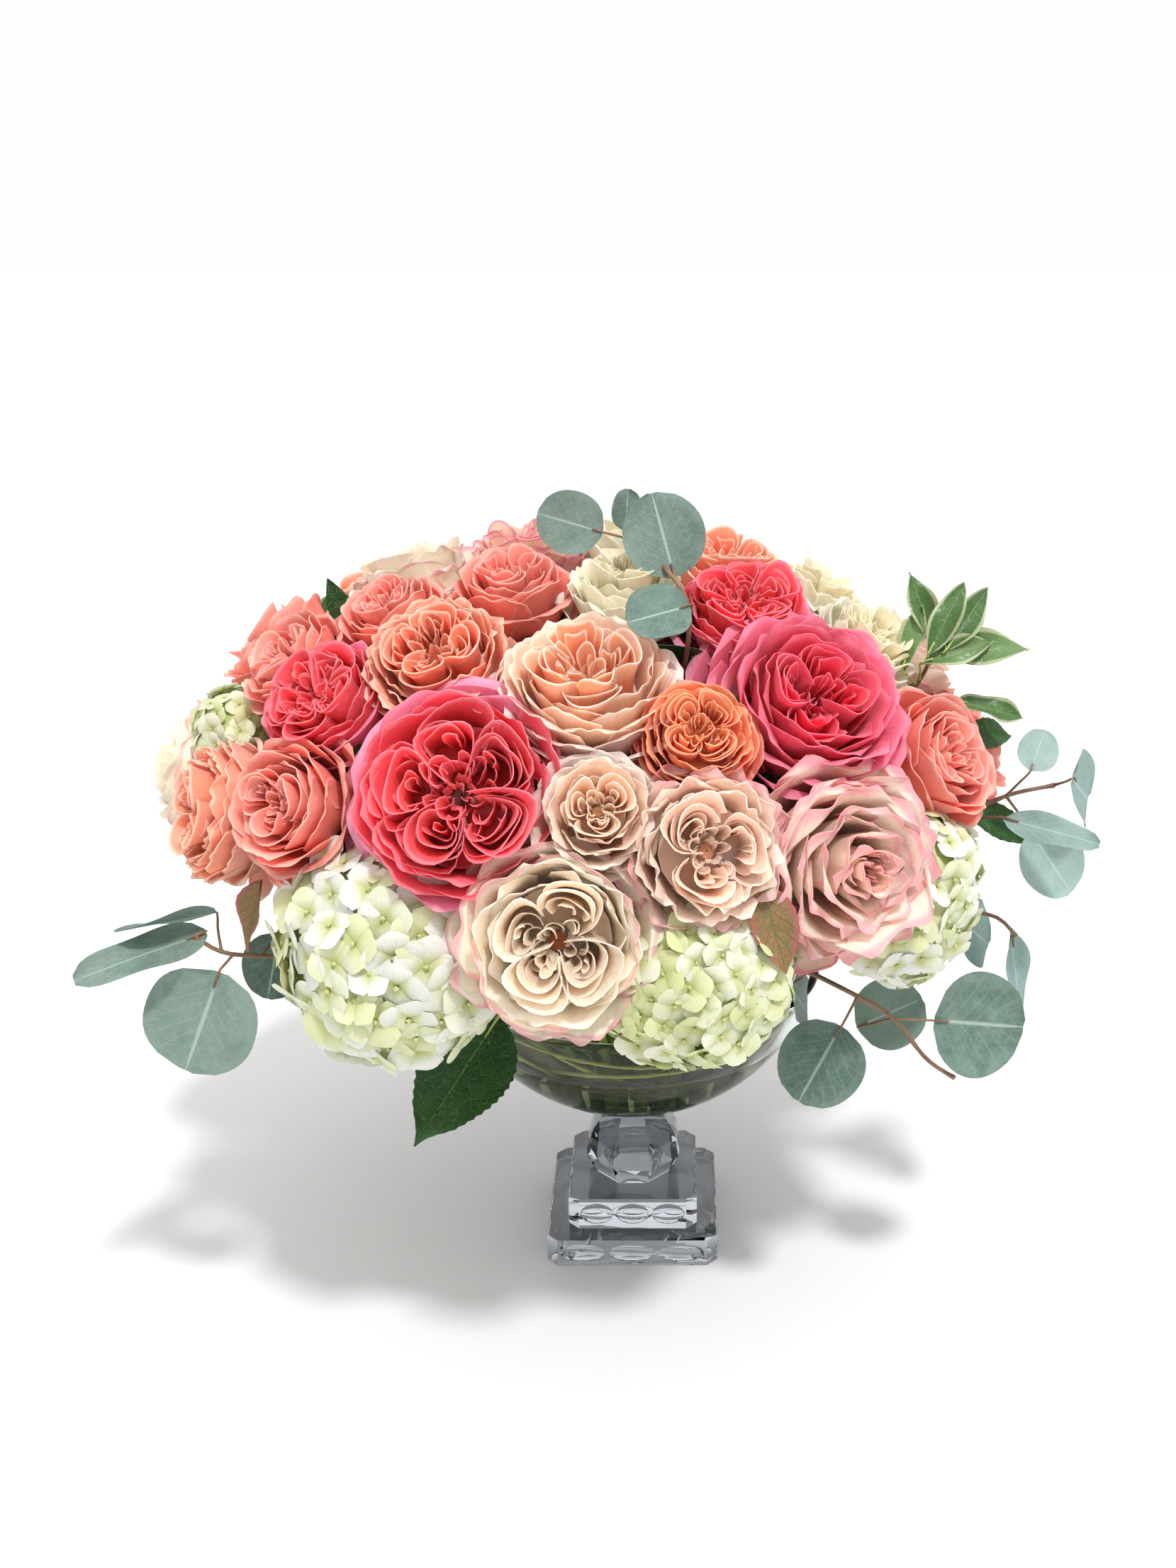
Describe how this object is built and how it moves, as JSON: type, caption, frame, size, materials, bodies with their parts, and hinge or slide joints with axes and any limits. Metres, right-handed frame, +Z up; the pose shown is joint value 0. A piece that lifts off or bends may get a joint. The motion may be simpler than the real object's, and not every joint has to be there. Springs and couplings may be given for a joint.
{
  "type": "floral table centrepiece",
  "caption": "Dome of garden roses, hydrangeas and eucalyptus standing in water in a footed glass bowl, made to be seen from all sides on a table.",
  "frame": {"origin": "centre of the underside of the glass pedestal's square foot, on the table", "axes": "+Z up, -Y towards the front of the arrangement, +X to its right seen from the front, the way the dome is longest"},
  "size_m": [0.5091, 0.4122, 0.4289],
  "materials": {
    "glass": "clear polished",
    "water": "clear liquid",
    "willow": "green bark",
    "petals_pink": "soft satin petal",
    "petals_peach": "soft satin petal",
    "petals_coral": "soft satin petal",
    "petals_orange": "soft satin petal",
    "petals_cream": "soft satin petal",
    "petals_ivory": "soft satin petal",
    "petals_blush": "soft satin petal",
    "florets": "matte petal",
    "leaves_eucalyptus": "waxy matte leaf",
    "leaves_green": "satin leaf"
  },
  "bodies": {
    "root": {"glass_pedestal": "glass", "glass_bowl": "glass", "water": "water", "willow_twig_upper": "willow", "willow_twig_lower": "willow", "rose_pink_front": "petals_pink", "rose_cream_front": "petals_cream", "rose_pink_right": "petals_pink", "rose_pink_behind": "petals_pink", "rose_peach_top": "petals_peach", "rose_peach_left": "petals_peach", "rose_coral_far_left": "petals_coral", "rose_pink_left": "petals_pink", "rose_coral_left": "petals_coral", "rose_peach_far_left": "petals_peach", "rose_coral_upper_left": "petals_coral", "rose_coral_crown": "petals_coral", "rose_pink_crown": "petals_pink", "rose_cream_crown": "petals_cream", "rose_orange_middle": "petals_orange", "rose_peach_crown": "petals_peach", "rose_ivory_crown": "petals_ivory", "rose_ivory_right": "petals_ivory", "rose_coral_right": "petals_coral", "rose_blush_spray": "petals_blush", "rose_blush_middle": "petals_blush", "rose_blush_right": "petals_blush", "rose_coral_side_right": "petals_coral", "rose_peach_back_right": "petals_peach", "rose_pink_back_left": "petals_pink", "rose_cream_side_left": "petals_cream", "rose_blush_side_right": "petals_blush", "rose_pink_back_right": "petals_pink", "rose_coral_back": "petals_coral", "rose_ivory_back": "petals_ivory", "rose_peach_back_left": "petals_peach", "rose_coral_side_left": "petals_coral", "rose_blush_back_crown": "petals_blush", "rose_cream_crown_left": "petals_cream", "rose_ivory_top": "petals_ivory", "rose_coral_back_crown": "petals_coral", "hydrangea_left": "florets", "hydrangea_front": "florets", "hydrangea_right": "florets", "hydrangea_far_left": "florets", "hydrangea_back_right": "florets", "hydrangea_back": "florets", "hydrangea_back_left": "florets", "eucalyptus_top": "leaves_eucalyptus", "eucalyptus_left": "leaves_eucalyptus", "eucalyptus_low_right": "leaves_eucalyptus", "eucalyptus_right": "leaves_eucalyptus", "eucalyptus_side_right": "leaves_eucalyptus", "eucalyptus_back_left": "leaves_eucalyptus", "eucalyptus_back_right": "leaves_eucalyptus", "pittosporum_right": "leaves_green", "pittosporum_back_left": "leaves_green", "hydrangea_leaf_front": "leaves_green", "hydrangea_leaf_back": "leaves_green", "rose_leaf_left": "leaves_green"}
  },
  "joints": []
}
